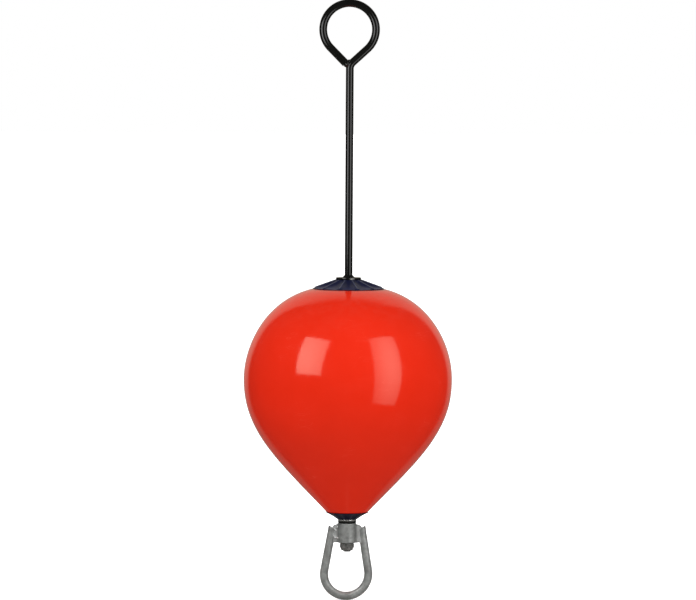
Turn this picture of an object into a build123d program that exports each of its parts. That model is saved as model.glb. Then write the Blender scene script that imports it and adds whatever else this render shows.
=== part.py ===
from build123d import *

import os
from math import asin, cos, pi, sin, sqrt, tan

# Inflated mooring buoy on a steel through bar: a pear-shaped float held between two fluted caps,
# a pick-up eye bent from the top of the bar, and a welded swivel loop that turns on its lower end.
# Millimetres, +Z up along the bar, origin on the bar's axis at the waterline.
# The eye and the loop both lie in the XZ plane.

# Clearances
slip_gap = 0.3  # radial, between a piece and the hole that takes it
running_gap = 0.3  # axial, above and below the turning sleeve

# Through bar and its eye
bar_diameter = 14.0
stem_length = 382.7  # top of the stop flange to the corner where the eye leaves the axis
eye_radius = 47.0  # to the middle of the bar
eye_rise = 59.0  # that corner to the eye's centre
eye_bend_radius = 16.0  # to the middle of the bar
eye_tail_drop = 6.6  # the free leg aims this far below the corner
eye_tail_setback = 12.0  # end of the free leg, short of the axis, along the leg
eye_weld_setback = 9.0  # middle of the bead, short of the axis, along the leg
eye_weld_build_up = 0.8  # the bead's height over the bar
bar_tip_length = 1.9  # bar end showing below the lock nut
bar_tip_chamfer = 1.4

# Stop flange, welded on the bar above the float
flange_diameter = 45.0
flange_thickness = 4.0
flange_chamfer = 0.5
flange_weld_leg = 4.2
flange_weld_hollow = 0.5

# Float
equator_height = 20.0  # widest circle above the waterline
float_diameter = 372.0
float_wall = 5.0
crown_height = 162.4  # widest circle to the upper end flat
cone_height = 237.0  # widest circle to the lower end flat
crown_slope = 13.4  # degrees below level where the crown leaves the upper end
cone_slope = 45.8  # degrees above level where the cone leaves the lower end
crown_reach = 85.0  # how far the crown keeps that slope, as a curve handle
crown_fullness = 64.0  # curve handle above the widest circle
cone_fullness = 89.0  # curve handle below the widest circle
cone_reach = 136.0  # how far the cone keeps its slope, as a curve handle
cap_recess = 2.4  # depth that the top cap is let into the upper end
lip_width = 1.3  # left of the upper end round that recess
lip_edge_radius = 0.4
foot_margin = 0.5  # left of the lower end round the bottom cap

# Fluted caps that plug the two ends of the float
flute_count = 12
rib_land = 1.2  # width left on a rib between two flutes
flute_overrun = 0.2  # how far a flute runs on past either end, as a share of its length
spigot_depth = 12.0
top_cap_diameter = 124.0
top_cap_height = 18.8
top_cap_hub_diameter = 49.0
top_cap_rib_height = 5.8  # rib's outer end above the seat
top_cap_rim = 3.4  # rim plate under the ribs
top_cap_rib_inset = 1.2  # ribs end this far inside the rim
top_cap_spigot_diameter = 60.0
top_flute_depth_hub = 0.9
top_flute_depth_rim = 2.4
bottom_cap_diameter = 72.4
bottom_cap_height = 12.2
bottom_cap_hub_diameter = 36.6
bottom_cap_rib_height = 1.9
bottom_cap_rim = 1.0
bottom_cap_rib_inset = 0.8
bottom_cap_hollow = 0.5  # how far its flare bends in
bottom_cap_spigot_diameter = 40.0
bottom_flute_depth_hub = 0.7
bottom_flute_depth_rim = 1.4

# Washers between the float and the swivel
washer_diameter = 33.6
washer_thickness = 3.2
washer_chamfer = 0.4
bearing_diameter = 32.6
bearing_thickness = 3.9
bearing_edge_radius = 1.2

# Swivel: a sleeve on the bar, a bent loop, and a weld web at each leg
sleeve_diameter = 34.0
sleeve_height = 35.3
sleeve_chamfer = 2.2
loop_bar_diameter = 14.0
loop_radius = 39.8  # to the middle of the bar
loop_drop = 55.9  # sleeve's lower face to the centre of the loop's curve
leg_root_gap = 2.0  # between a leg's tip and the sleeve
leg_tip_drop = 6.0  # sleeve's upper face to the middle of a leg's cut end
leg_tip_chamfer = 0.8
web_thickness = 11.0
web_head_drop = 2.4  # sleeve's upper face to the web's head, against the sleeve
web_notch_drop = 6.6  # sleeve's upper face to the web's head, on the leg's middle line
web_foot_height = 0.4  # sleeve's lower face to the web's foot
web_arch_height = 2.4  # rise of the hollow in the web's foot

# Lock nut: a hexagon with a round collar below it
nut_across_flats = 22.0
nut_hex_height = 9.4
nut_collar_diameter = 19.6
nut_collar_height = 4.2
nut_collar_edge_radius = 3.0
nut_corner_chamfer = 1.3

# Levels, from the float outwards
bar_radius = bar_diameter / 2
slip_radius = bar_radius + slip_gap
float_radius = float_diameter / 2
float_top = equator_height + crown_height
cap_seat = float_top - cap_recess
flange_bottom = cap_seat + top_cap_height
flange_top = flange_bottom + flange_thickness
eye_corner = flange_top + stem_length
eye_centre = eye_corner + eye_rise
float_bottom = equator_height - cone_height
washer_top = float_bottom - bottom_cap_height
bearing_top = washer_top - washer_thickness
sleeve_top = bearing_top - bearing_thickness - running_gap
sleeve_bottom = sleeve_top - sleeve_height
nut_top = sleeve_bottom - running_gap
nut_hex_bottom = nut_top - nut_hex_height
nut_bottom = nut_hex_bottom - nut_collar_height
bar_bottom = nut_bottom - bar_tip_length
loop_centre = sleeve_bottom - loop_drop


def heading(angle):
    """Unit vector in a profile plane at an angle in degrees, level at 0 and straight up at 90."""
    return Vector(cos(angle * pi / 180), sin(angle * pi / 180))


def tangent_point(apex, centre, radius, side):
    """Where a line from an apex in the XZ plane touches a circle there.

    Someone going from the apex to the centre has the line on the right (side 1) or left (side -1)."""
    reach = centre - apex
    length = sqrt(reach.length**2 - radius**2)
    turn = asin(radius / reach.length)
    along = reach.normalized()
    across = Vector(0, 1, 0).cross(along) * side
    return apex + along * (length * cos(turn)) + across * (length * sin(turn))


# Through bar: straight, from its tip below the lock nut up to where the eye's bend starts
eye_middle = Vector(0, 0, eye_centre)
bend_apex = Vector(0, 0, eye_corner)
tail_apex = Vector(0, 0, eye_corner - eye_tail_drop)
right_touch = tangent_point(bend_apex, eye_middle, eye_radius, 1)
left_touch = tangent_point(tail_apex, eye_middle, eye_radius, -1)
eye_bend = asin(eye_radius / eye_rise)
bend_start = eye_corner - eye_bend_radius * tan(eye_bend / 2)
with BuildPart(Plane.XY.offset(bar_bottom)) as through_bar:
    Cylinder(bar_radius, bend_start - bar_bottom, align=(Align.CENTER, Align.CENTER, Align.MIN))
    chamfer(through_bar.edges().filter_by(GeomType.CIRCLE).sort_by(Axis.Z)[0], bar_tip_chamfer)
through_bar.part.label = "through_bar"

# Pick-up eye: the same bar bent out to the right, carried round and brought back to its neck
tail_direction = (left_touch - tail_apex).normalized()
tail_end = tail_apex + tail_direction * eye_tail_setback
with BuildPart() as pick_up_eye:
    with BuildLine(Plane.XZ) as eye_path:
        bend = RadiusArc(
            Vector(0, 0, bend_start),
            bend_apex + (right_touch - bend_apex).normalized() * (eye_corner - bend_start),
            eye_bend_radius,
        )
        Line(bend @ 1, right_touch)
        ThreePointArc(right_touch, eye_middle + Vector(0, 0, eye_radius), left_touch)
        Line(left_touch, tail_end)
    with BuildSketch(Plane.XY.offset(bend_start)):
        Circle(bar_radius)
    sweep(path=eye_path.wire())
pick_up_eye.part.label = "pick_up_eye"

# Weld that closes the eye: a bead over the free leg's end, run onto the side of the bar
weld_middle = tail_apex + tail_direction * eye_weld_setback
with BuildPart() as eye_weld:
    with Locations(weld_middle):
        Sphere(bar_radius + eye_weld_build_up)
    add(through_bar.part, mode=Mode.SUBTRACT)
    add(pick_up_eye.part, mode=Mode.SUBTRACT)
eye_weld.part.label = "eye_weld"

# Stop flange, and the fillet weld round the bar above it
with BuildPart(Plane.XY.offset(flange_bottom)) as stop_flange:
    Cylinder(flange_diameter / 2, flange_thickness, align=(Align.CENTER, Align.CENTER, Align.MIN))
    chamfer(stop_flange.edges().filter_by(GeomType.CIRCLE), flange_chamfer)
    Hole(bar_radius)
stop_flange.part.label = "stop_flange"

weld_foot = (bar_radius + flange_weld_leg, flange_top)
weld_head = (bar_radius, flange_top + flange_weld_leg)
with BuildPart() as flange_weld:
    with BuildSketch(Plane.XZ):
        with BuildLine():
            Polyline(weld_head, (bar_radius, flange_top), weld_foot)
            SagittaArc(weld_foot, weld_head, -flange_weld_hollow)
        make_face()
    revolve(axis=Axis.Z)
flange_weld.part.label = "flange_weld"

# Float: a hollow pear, its crown and its cone each one smooth curve that leaves the widest circle
# upright. The top cap is let into its upper end, and the bottom cap covers its lower end.
recess_radius = top_cap_diameter / 2 + slip_gap
crown_edge = Vector(recess_radius + lip_width, float_top)
equator = Vector(float_radius, equator_height)
cone_foot = Vector(bottom_cap_diameter / 2 + foot_margin, float_bottom)
with BuildPart() as float_body:
    with BuildSketch(Plane.XZ):
        with BuildLine():
            Bezier(
                crown_edge,
                crown_edge + heading(-crown_slope) * crown_reach,
                equator + heading(90) * crown_fullness,
                equator,
            )
            Bezier(
                equator,
                equator + heading(-90) * cone_fullness,
                cone_foot + heading(cone_slope) * cone_reach,
                cone_foot,
            )
            Polyline(
                cone_foot,
                (0, float_bottom),
                (0, float_top),
                crown_edge,
            )
        make_face()
    revolve(axis=Axis.Z)
    offset(amount=-float_wall, mode=Mode.SUBTRACT)
    with BuildSketch(Plane.XY.offset(float_top)):
        Circle(recess_radius)
    extrude(amount=-cap_recess, mode=Mode.SUBTRACT)
    fillet(float_body.faces().sort_by(Axis.Z)[-1].edges(), lip_edge_radius)
    with BuildSketch(Plane.XY.offset(float_top)):
        Circle(top_cap_spigot_diameter / 2 + slip_gap)
    extrude(amount=-2 * float_wall, mode=Mode.SUBTRACT)
    with BuildSketch(Plane.XY.offset(float_bottom)):
        Circle(bottom_cap_spigot_diameter / 2 + slip_gap)
    extrude(amount=2 * float_wall, mode=Mode.SUBTRACT)
float_body.part.label = "float_body"


def flute_cutter(hub, rim, outward, hub_depth, rim_depth):
    """Tapered round cutter along a cap's slope on the +X side, run on past both ends.

    Across the line from hub to rim it is a circle, as deep as asked and as wide as the ribs leave."""
    middles = []
    radii = []
    for point, depth in ((hub, hub_depth), (rim, rim_depth)):
        half_width = point.X * sin(pi / flute_count) - rib_land / 2
        radius = (half_width**2 + depth**2) / (2 * depth)
        middles.append(point + outward * (radius - depth))
        radii.append(radius)
    with BuildPart() as cutter:
        for share in (-flute_overrun, 1 + flute_overrun):
            middle = middles[0] + (middles[1] - middles[0]) * share
            across = Plane(origin=(middle.X, 0, middle.Y), z_dir=(rim.X - hub.X, 0, rim.Y - hub.Y))
            with BuildSketch(across):
                Circle(radii[0] + (radii[1] - radii[0]) * share)
        loft(ruled=True)
    return cutter.part


# Top cap: a fluted cone on a rim plate, with a spigot down into the float
top_hub = Vector(top_cap_hub_diameter / 2, flange_bottom)
top_rib_end = Vector(top_cap_diameter / 2 - top_cap_rib_inset, cap_seat + top_cap_rib_height)
top_run = (top_rib_end - top_hub).normalized()
top_outward = Vector(-top_run.Y, top_run.X)
top_flute = flute_cutter(top_hub, top_rib_end, top_outward, top_flute_depth_hub, top_flute_depth_rim)
with BuildPart() as top_cap:
    with BuildSketch(Plane.XZ):
        with BuildLine():
            Polyline(
                (0, cap_seat),
                (top_rib_end.X, cap_seat),
                top_rib_end,
                top_hub,
                (0, flange_bottom),
                close=True,
            )
        make_face()
    revolve(axis=Axis.Z)
    with PolarLocations(0, flute_count):
        add(top_flute, mode=Mode.SUBTRACT)
    with BuildSketch(Plane.XY.offset(cap_seat)):
        Circle(top_cap_diameter / 2)
    extrude(amount=top_cap_rim)
    with BuildSketch(Plane.XY.offset(cap_seat)):
        Circle(top_cap_spigot_diameter / 2)
    extrude(amount=-spigot_depth)
    with BuildSketch(Plane.XY.offset(flange_bottom)):
        Circle(slip_radius)
    extrude(amount=-(top_cap_height + spigot_depth), mode=Mode.SUBTRACT)
top_cap.part.label = "top_cap"

# Bottom cap: the same, smaller and hanging, with a slightly hollow flare
bottom_hub = Vector(bottom_cap_hub_diameter / 2, washer_top)
bottom_rib_end = Vector(bottom_cap_diameter / 2 - bottom_cap_rib_inset, float_bottom - bottom_cap_rib_height)
bottom_run = (bottom_rib_end - bottom_hub).normalized()
bottom_outward = Vector(bottom_run.Y, -bottom_run.X)
bottom_flute = flute_cutter(
    bottom_hub, bottom_rib_end, bottom_outward, bottom_flute_depth_hub, bottom_flute_depth_rim
)
with BuildPart() as bottom_cap:
    with BuildSketch(Plane.XZ):
        with BuildLine():
            Polyline(
                bottom_hub,
                (0, washer_top),
                (0, float_bottom),
                (bottom_rib_end.X, float_bottom),
                bottom_rib_end,
            )
            SagittaArc(bottom_rib_end, bottom_hub, bottom_cap_hollow)
        make_face()
    revolve(axis=Axis.Z)
    with PolarLocations(0, flute_count):
        add(bottom_flute, mode=Mode.SUBTRACT)
    with BuildSketch(Plane.XY.offset(float_bottom)):
        Circle(bottom_cap_diameter / 2)
    extrude(amount=-bottom_cap_rim)
    with BuildSketch(Plane.XY.offset(float_bottom)):
        Circle(bottom_cap_spigot_diameter / 2)
    extrude(amount=spigot_depth)
    with BuildSketch(Plane.XY.offset(washer_top)):
        Circle(slip_radius)
    extrude(amount=bottom_cap_height + spigot_depth, mode=Mode.SUBTRACT)
bottom_cap.part.label = "bottom_cap"

# Steel washer under the bottom cap, and the bearing ring that the swivel turns against
with BuildPart(Plane.XY.offset(washer_top)) as thrust_washer:
    Cylinder(washer_diameter / 2, washer_thickness, align=(Align.CENTER, Align.CENTER, Align.MAX))
    chamfer(thrust_washer.edges().filter_by(GeomType.CIRCLE), washer_chamfer)
    Hole(slip_radius)
thrust_washer.part.label = "thrust_washer"

with BuildPart(Plane.XY.offset(bearing_top)) as bearing_ring:
    Cylinder(bearing_diameter / 2, bearing_thickness, align=(Align.CENTER, Align.CENTER, Align.MAX))
    fillet(bearing_ring.edges().filter_by(GeomType.CIRCLE), bearing_edge_radius)
    Hole(slip_radius)
bearing_ring.part.label = "bearing_ring"

# Swivel sleeve, free to turn on the bar between the bearing ring and the lock nut
sleeve_radius = sleeve_diameter / 2
with BuildPart(Plane.XY.offset(sleeve_bottom)) as swivel_sleeve:
    Cylinder(sleeve_radius, sleeve_height, align=(Align.CENTER, Align.CENTER, Align.MIN))
    chamfer(swivel_sleeve.edges().filter_by(GeomType.CIRCLE), sleeve_chamfer)
    Hole(slip_radius)
swivel_sleeve.part.label = "swivel_sleeve"

# Swivel loop: two legs that lean in to the sleeve, and the round bow between them
loop_bar_radius = loop_bar_diameter / 2
loop_middle = Vector(0, 0, loop_centre)
right_tip = Vector(sleeve_radius + leg_root_gap + loop_bar_radius, 0, sleeve_top - leg_tip_drop)
left_tip = Vector(-right_tip.X, 0, right_tip.Z)
right_bow = tangent_point(right_tip, loop_middle, loop_radius, -1)
left_bow = tangent_point(left_tip, loop_middle, loop_radius, 1)
with BuildPart() as swivel_loop:
    with BuildLine(Plane.XZ) as loop_path:
        Line(left_tip, left_bow)
        ThreePointArc(left_bow, loop_middle - Vector(0, 0, loop_radius), right_bow)
        Line(right_bow, right_tip)
    with BuildSketch(Plane(origin=loop_path.line @ 0, z_dir=loop_path.line % 0)):
        Circle(loop_bar_radius)
    sweep(path=loop_path.wire())
    chamfer(swivel_loop.faces().filter_by(GeomType.PLANE).edges(), leg_tip_chamfer)
swivel_loop.part.label = "swivel_loop"


def leg_reach(height):
    """Distance of the right leg's middle line from the axis at a height."""
    return right_tip.X + (right_bow.X - right_tip.X) * (right_tip.Z - height) / (right_tip.Z - right_bow.Z)


# Weld web between the sleeve and each leg, run over the leg's cut end, with a hollow foot
web_root = sleeve_radius - sleeve_chamfer
web_head = sleeve_top - web_head_drop
web_foot = sleeve_bottom + web_foot_height
web_notch = (leg_reach(sleeve_top - web_notch_drop), sleeve_top - web_notch_drop)
web_heel = (leg_reach(web_foot), web_foot)
with BuildPart() as swivel_web_right:
    with BuildSketch(Plane.XZ):
        with BuildLine():
            Polyline(
                (sleeve_radius, web_foot),
                (web_root, web_foot),
                (web_root, web_head),
                (sleeve_radius, web_head),
                web_notch,
                web_heel,
            )
            SagittaArc(web_heel, (sleeve_radius, web_foot), -web_arch_height)
        make_face()
    extrude(amount=web_thickness / 2, both=True)
    add(swivel_sleeve.part, mode=Mode.SUBTRACT)
    add(swivel_loop.part, mode=Mode.SUBTRACT)
swivel_web_right.part.label = "swivel_web_right"

with BuildPart() as swivel_web_left:
    mirror(swivel_web_right.part, about=Plane.YZ)
swivel_web_left.part.label = "swivel_web_left"

# Lock nut: a hexagon with its corners turned off, and a round collar below
nut_flat = nut_across_flats / 2
nut_corner = nut_flat / cos(pi / 6)
with BuildPart() as lock_nut:
    with BuildSketch(Plane.XY.offset(nut_hex_bottom)):
        RegularPolygon(nut_flat, 6, major_radius=False)
    extrude(amount=nut_hex_height)
    with BuildSketch(Plane.XZ):
        with BuildLine():
            Polyline(
                (0, nut_hex_bottom),
                (nut_flat, nut_hex_bottom),
                (nut_corner, nut_hex_bottom + nut_corner_chamfer),
                (nut_corner, nut_top - nut_corner_chamfer),
                (nut_flat, nut_top),
                (0, nut_top),
                close=True,
            )
        make_face()
    revolve(axis=Axis.Z, mode=Mode.INTERSECT)
    with BuildSketch(Plane.XY.offset(nut_hex_bottom)):
        Circle(nut_collar_diameter / 2)
    extrude(amount=-nut_collar_height)
    fillet(lock_nut.faces().sort_by(Axis.Z)[0].edges(), nut_collar_edge_radius)
    with BuildSketch(Plane.XY.offset(nut_top)):
        Circle(bar_radius)
    extrude(amount=-(nut_hex_height + nut_collar_height), mode=Mode.SUBTRACT)
lock_nut.part.label = "lock_nut"

pieces = (
    through_bar,
    pick_up_eye,
    eye_weld,
    stop_flange,
    flange_weld,
    top_cap,
    float_body,
    bottom_cap,
    thrust_washer,
    bearing_ring,
    lock_nut,
    swivel_sleeve,
    swivel_loop,
    swivel_web_left,
    swivel_web_right,
)
os.makedirs("parts", exist_ok=True)
for piece in pieces:
    export_step(piece.part, f"parts/{piece.part.label}.step")
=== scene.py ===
import bpy
import numpy as np
from mathutils import Matrix, Vector


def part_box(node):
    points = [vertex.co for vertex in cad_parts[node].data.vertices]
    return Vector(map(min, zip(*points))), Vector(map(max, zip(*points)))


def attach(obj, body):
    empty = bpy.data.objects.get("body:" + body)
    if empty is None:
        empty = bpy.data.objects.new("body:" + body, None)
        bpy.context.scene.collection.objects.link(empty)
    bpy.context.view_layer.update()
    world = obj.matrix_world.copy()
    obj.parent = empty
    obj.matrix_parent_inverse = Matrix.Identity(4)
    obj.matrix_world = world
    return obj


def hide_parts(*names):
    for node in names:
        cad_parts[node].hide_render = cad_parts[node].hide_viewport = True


# Inflated mooring buoy: red float, navy fluted caps, black bar with a pick-up eye, galvanised swivel loop.
# Metres, Z up, the bar on the Z axis, the eye and the loop in the XZ plane.
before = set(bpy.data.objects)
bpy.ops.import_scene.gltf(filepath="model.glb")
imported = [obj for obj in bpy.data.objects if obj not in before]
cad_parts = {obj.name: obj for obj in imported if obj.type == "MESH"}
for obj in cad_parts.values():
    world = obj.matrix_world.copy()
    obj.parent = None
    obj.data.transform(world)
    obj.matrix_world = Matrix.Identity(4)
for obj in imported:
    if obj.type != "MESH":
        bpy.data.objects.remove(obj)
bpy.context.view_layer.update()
print("frame loaded:", len(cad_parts), "nodes")

mm = 0.001
repeatGap = 1e-8  # outline points closer than this count as one


# half width, bottom and top of a CAD node
def span(node):
    low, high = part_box(node)
    return (high.x - low.x) / 2, low.z, high.z


# straight stretch of an outline, start to stop in equal steps
def straight(start, stop, steps=1):
    t = np.linspace(0, 1, steps + 1)[:, None]
    return (1 - t) * np.array(start) + t * np.array(stop)


# round stretch of an outline: centre plus radius times (cos a, sin a), a in degrees
def arc(centre, radius, start, stop, steps=6):
    a = np.radians(np.linspace(start, stop, steps + 1))
    return np.array(centre) + radius * np.column_stack([np.cos(a), np.sin(a)])


# cubic curve at t: its corners weighted (1-t)^3, 3t(1-t)^2, 3t^2(1-t) and t^3
def cubic(t, corners):
    weights = ((1 - t) ** 3, 3 * t * (1 - t) ** 2, 3 * t**2 * (1 - t), t**3)
    return sum(weight * corner for weight, corner in zip(weights, corners))


# stretch of an outline along a cubic curve
def bezier(corners, steps):
    return cubic(np.linspace(0, 1, steps + 1)[:, None], np.array(corners))


# unit vector in an outline's plane, degrees above level
def heading(angle):
    return np.array([np.cos(np.radians(angle)), np.sin(np.radians(angle))])


# stretches end to end, without a point that repeats the one before it
def outline(*stretches):
    points = np.concatenate([np.atleast_2d(s) for s in stretches])
    step = np.linalg.norm(np.diff(points, axis=0), axis=1)
    return points[np.append(True, step > repeatGap)]


# unit normals of an outline: its tangent turned a quarter turn to the left
def outlineNormals(points):
    tangent = np.gradient(points, axis=0)
    tangent /= np.linalg.norm(tangent, axis=1, keepdims=True)
    return np.column_stack([-tangent[:, 1], tangent[:, 0]])


# distance run along an outline up to each of its points
def runLength(points):
    return np.append(0, np.cumsum(np.linalg.norm(np.diff(points, axis=0), axis=1)))


# evenly spaced angles for the columns round a piece
def roundAngles(count):
    return np.arange(count) * (2 * np.pi / count)


# angles counted from the nearest of the places that come once in every turn
def offFrom(angles, place, turn):
    return (angles - place + turn / 2) % turn - turn / 2


# arch over t from 0 to 1: 4t(1-t), which is 1 in the middle
def arch(t):
    return 4 * t * (1 - t)


# hump: exp(-(distance / half width)^2)
def hump(distance, half):
    return np.exp(-((distance / half) ** 2))


# surface of revolution: (r cos a, r sin a, z), where r and z may change with the angle
def turned(r, z, angles):
    r, z = np.broadcast_arrays(r + 0 * angles, z + 0 * angles)
    return np.stack([r * np.cos(angles), r * np.sin(angles), z], axis=-1)


# circle carried along a path in the XZ plane: path + r (cos a times the path's normal + sin a times Y)
def carried(path, r, angles):
    normal = outlineNormals(path)
    x = path[:, :1] + r * np.cos(angles) * normal[:, :1]
    z = path[:, 1:] + r * np.cos(angles) * normal[:, 1:]
    return np.stack([x, r * np.sin(angles) + 0 * x, z], axis=-1)


waveMix = {"count": 9, "least": 0.75, "step": 1 / 16, "phaseStep": 2.1, "gain": 1.6}


# unevenness from -1 to 1: a mean of sine waves of about one size, spread over a ball of directions
def uneven(points, size, phase=0.0):
    step = np.arange(waveMix["count"])
    turn = step * np.pi * (3 - np.sqrt(5))
    level = (step - (waveMix["count"] - 1) / 2) / (waveMix["count"] / 2)
    flat = np.sqrt(1 - level**2)
    directions = np.stack([flat * np.cos(turn), flat * np.sin(turn), level])
    waves = directions * (2 * np.pi / size) * (waveMix["least"] + step * waveMix["step"])
    return waveMix["gain"] * np.sin(points @ waves + phase + waveMix["phaseStep"] * step).mean(axis=-1)


# grid of points made a mesh: rows along the outline, columns round the piece. A ring joins its last row to
# its first, and any other grid has each end row closed by a fan onto the row's middle. Edges past so many
# degrees stay sharp. Marks are values on the points, which the material of the slot reads.
def addPiece(name, points, body, slot, nodes, ring=False, sharp=38, marks=None):
    rows, cols = points.shape[:2]
    index = np.arange(rows * cols).reshape(rows, cols)
    here = index if ring else index[:-1]
    below = np.roll(index, -1, axis=0) if ring else index[1:]
    beside, belowBeside = np.roll(here, -1, axis=1), np.roll(below, -1, axis=1)
    quads = np.stack([here, below, belowBeside, beside], axis=-1).reshape(-1, 4)
    spots = points.reshape(-1, 3)
    fans = np.zeros((0, 3), int)
    if not ring:
        spots = np.concatenate([spots, points[[0, -1]].mean(axis=1)])
        first, last = index[0], index[-1]
        firstFan = np.stack([first, np.roll(first, -1), np.full(cols, rows * cols)], axis=-1)
        lastFan = np.stack([np.roll(last, -1), last, np.full(cols, rows * cols + 1)], axis=-1)
        fans = np.concatenate([firstFan, lastFan])
    corners = spots[np.concatenate([quads[:, [0, 1, 2]], quads[:, [0, 2, 3]], fans])]
    volume = np.einsum("ij,ij->", corners[:, 0], np.cross(corners[:, 1], corners[:, 2])) / 6
    if volume < 0:  # faces point outwards when the volume they shut in is positive
        quads, fans = quads[:, ::-1], fans[:, ::-1]
    mesh = bpy.data.meshes.new(name)
    mesh.from_pydata(spots.tolist(), [], quads.tolist() + fans.tolist())
    for mark, values in (marks or {}).items():
        flatValues = np.broadcast_to(values, (rows, cols)).ravel()
        flatValues = np.append(flatValues, np.zeros(len(spots) - len(flatValues)))
        layer = mesh.attributes.new(mark, "FLOAT", "POINT")
        layer.data.foreach_set("value", flatValues.astype(np.float32))
    mesh.materials.append(looks[slot])
    mesh.shade_smooth()
    mesh.set_sharp_from_angle(angle=np.radians(sharp))
    piece = bpy.data.objects.new(name, mesh)
    bpy.context.scene.collection.objects.link(piece)
    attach(piece, body)
    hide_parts(*nodes)
    print(name, len(quads) * 2 + len(fans), "triangles")


# socket given a link or a plain value
def feed(tree, socket, value):
    if isinstance(value, bpy.types.NodeSocket):
        tree.links.new(value, socket)
    else:
        socket.default_value = value


# shader node with its settings; a value given by a socket's name goes on that socket
def addNode(tree, kind, settings=None, **sockets):
    node = tree.nodes.new(kind)
    for key, value in (settings or {}).items():
        setattr(node, key, value)
    for key, value in sockets.items():
        feed(tree, node.inputs[key.replace("_", " ")], value)
    return node


# one Math node, as its result
def sums(tree, operation, *values):
    node = addNode(tree, "ShaderNodeMath", {"operation": operation})
    for socket, value in zip(node.inputs, values):
        feed(tree, socket, value)
    return node.outputs[0]


# soft step: 0 below low, 1 above high, smooth between
def softStep(tree, value, low, high):
    smooth = {"interpolation_type": "SMOOTHSTEP"}
    node = addNode(tree, "ShaderNodeMapRange", smooth, Value=value, From_Min=low, From_Max=high)
    return node.outputs["Result"]


# two colours mixed by a mask
def mixColours(tree, mask, first, second):
    node = addNode(tree, "ShaderNodeMix", {"data_type": "RGBA"}, Factor=mask)
    colourSockets = [s for s in node.inputs if s.type == "RGBA"]
    for socket, colour in zip(colourSockets, (first, second)):
        feed(tree, socket, (*colour, 1) if isinstance(colour, tuple) else colour)
    return next(s for s in node.outputs if s.type == "RGBA")


# noise over a place, as its outputs
def addNoise(tree, place, scale, detail):
    return addNode(tree, "ShaderNodeTexNoise", Vector=place, Scale=scale, Detail=detail).outputs


# new shader group with number inputs (name: start) and number outputs
def newGroup(name, inputs, outputs):
    group = bpy.data.node_groups.new(name, "ShaderNodeTree")
    for key, start in inputs.items():
        group.interface.new_socket(key, in_out="INPUT", socket_type="NodeSocketFloat").default_value = start
    for key in outputs:
        group.interface.new_socket(key, in_out="OUTPUT", socket_type="NodeSocketFloat")
    return group, group.nodes.new("NodeGroupInput"), group.nodes.new("NodeGroupOutput")


# what a group's pattern starts from: the object's own coordinates and the scale for its Size in metres
def sizedPlace(group, given):
    place = addNode(group, "ShaderNodeTexCoord").outputs["Object"]
    return place, sums(group, "DIVIDE", 1.0, given.outputs["Size"])


noiseSpread = (0.3, 0.7)  # most of a noise lies between these


# mottle: noise of a size in metres, spread between two levels
def mottleGroup():
    inputs = {"Size": 0.02, "Low": 0.0, "High": 1.0, "Detail": 3.0}
    group, given, result = newGroup("mottle", inputs, ["Value"])
    place, scale = sizedPlace(group, given)
    noise = addNoise(group, place, scale, given.outputs["Detail"])["Fac"]
    least, most = noiseSpread
    spread = addNode(group, "ShaderNodeMapRange", Value=noise, From_Min=least, From_Max=most)
    group.links.new(given.outputs["Low"], spread.inputs["To Min"])
    group.links.new(given.outputs["High"], spread.inputs["To Max"])
    group.links.new(spread.outputs["Result"], result.inputs["Value"])
    return group


dustPattern = {"up": (0.35, 1.0), "patches": (0.35, 0.75), "detail": 5.0}


# settled dust: strongest on faces that look up, broken up by noise
def dustGroup(pattern):
    group, given, result = newGroup("settledDust", {"Amount": 0.3, "Size": 0.01}, ["Mask"])
    surface = addNode(group, "ShaderNodeNewGeometry")
    split = addNode(group, "ShaderNodeSeparateXYZ", Vector=surface.outputs["Normal"])
    up = softStep(group, split.outputs["Z"], *pattern["up"])
    place, scale = sizedPlace(group, given)
    noise = addNoise(group, place, scale, pattern["detail"])["Fac"]
    patches = softStep(group, noise, *pattern["patches"])
    mask = sums(group, "MULTIPLY", sums(group, "MULTIPLY", up, patches), given.outputs["Amount"])
    group.links.new(mask, result.inputs["Mask"])
    return group


rubPattern = {
    "turn": (0.5, 0.4, 0.9), "stretch": (1.0, 1.0, 5.0), "detail": 1.0, "lineHalf": 0.012,
    "patches": (0.52, 0.68), "patchScale": 14.0, "patchDetail": 2.0,
}


# rub marks: thin lines where a stretched noise crosses its middle level, kept in scattered patches
def rubGroup(pattern):
    group, given, result = newGroup("rubMarks", {"Size": 0.03, "Amount": 0.5}, ["Mask"])
    place, scale = sizedPlace(group, given)
    stretch = {"Rotation": pattern["turn"], "Scale": pattern["stretch"]}
    lie = addNode(group, "ShaderNodeMapping", Vector=place, **stretch)
    noise = addNoise(group, lie.outputs["Vector"], scale, pattern["detail"])["Fac"]
    away = sums(group, "ABSOLUTE", sums(group, "SUBTRACT", noise, 0.5))
    lines = sums(group, "SUBTRACT", 1.0, softStep(group, away, 0.0, pattern["lineHalf"]))
    patch = addNoise(group, place, pattern["patchScale"], pattern["patchDetail"])["Fac"]
    where = softStep(group, patch, *pattern["patches"])
    mask = sums(group, "MULTIPLY", sums(group, "MULTIPLY", lines, where), given.outputs["Amount"])
    group.links.new(mask, result.inputs["Mask"])
    return group


spanglePattern = {
    "wobble": 2 * mm, "wobbleScale": 260.0, "wobbleDetail": 3.0,
    "frostShare": 0.5, "frostScale": 900.0, "frostDetail": 4.0,
}


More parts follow.
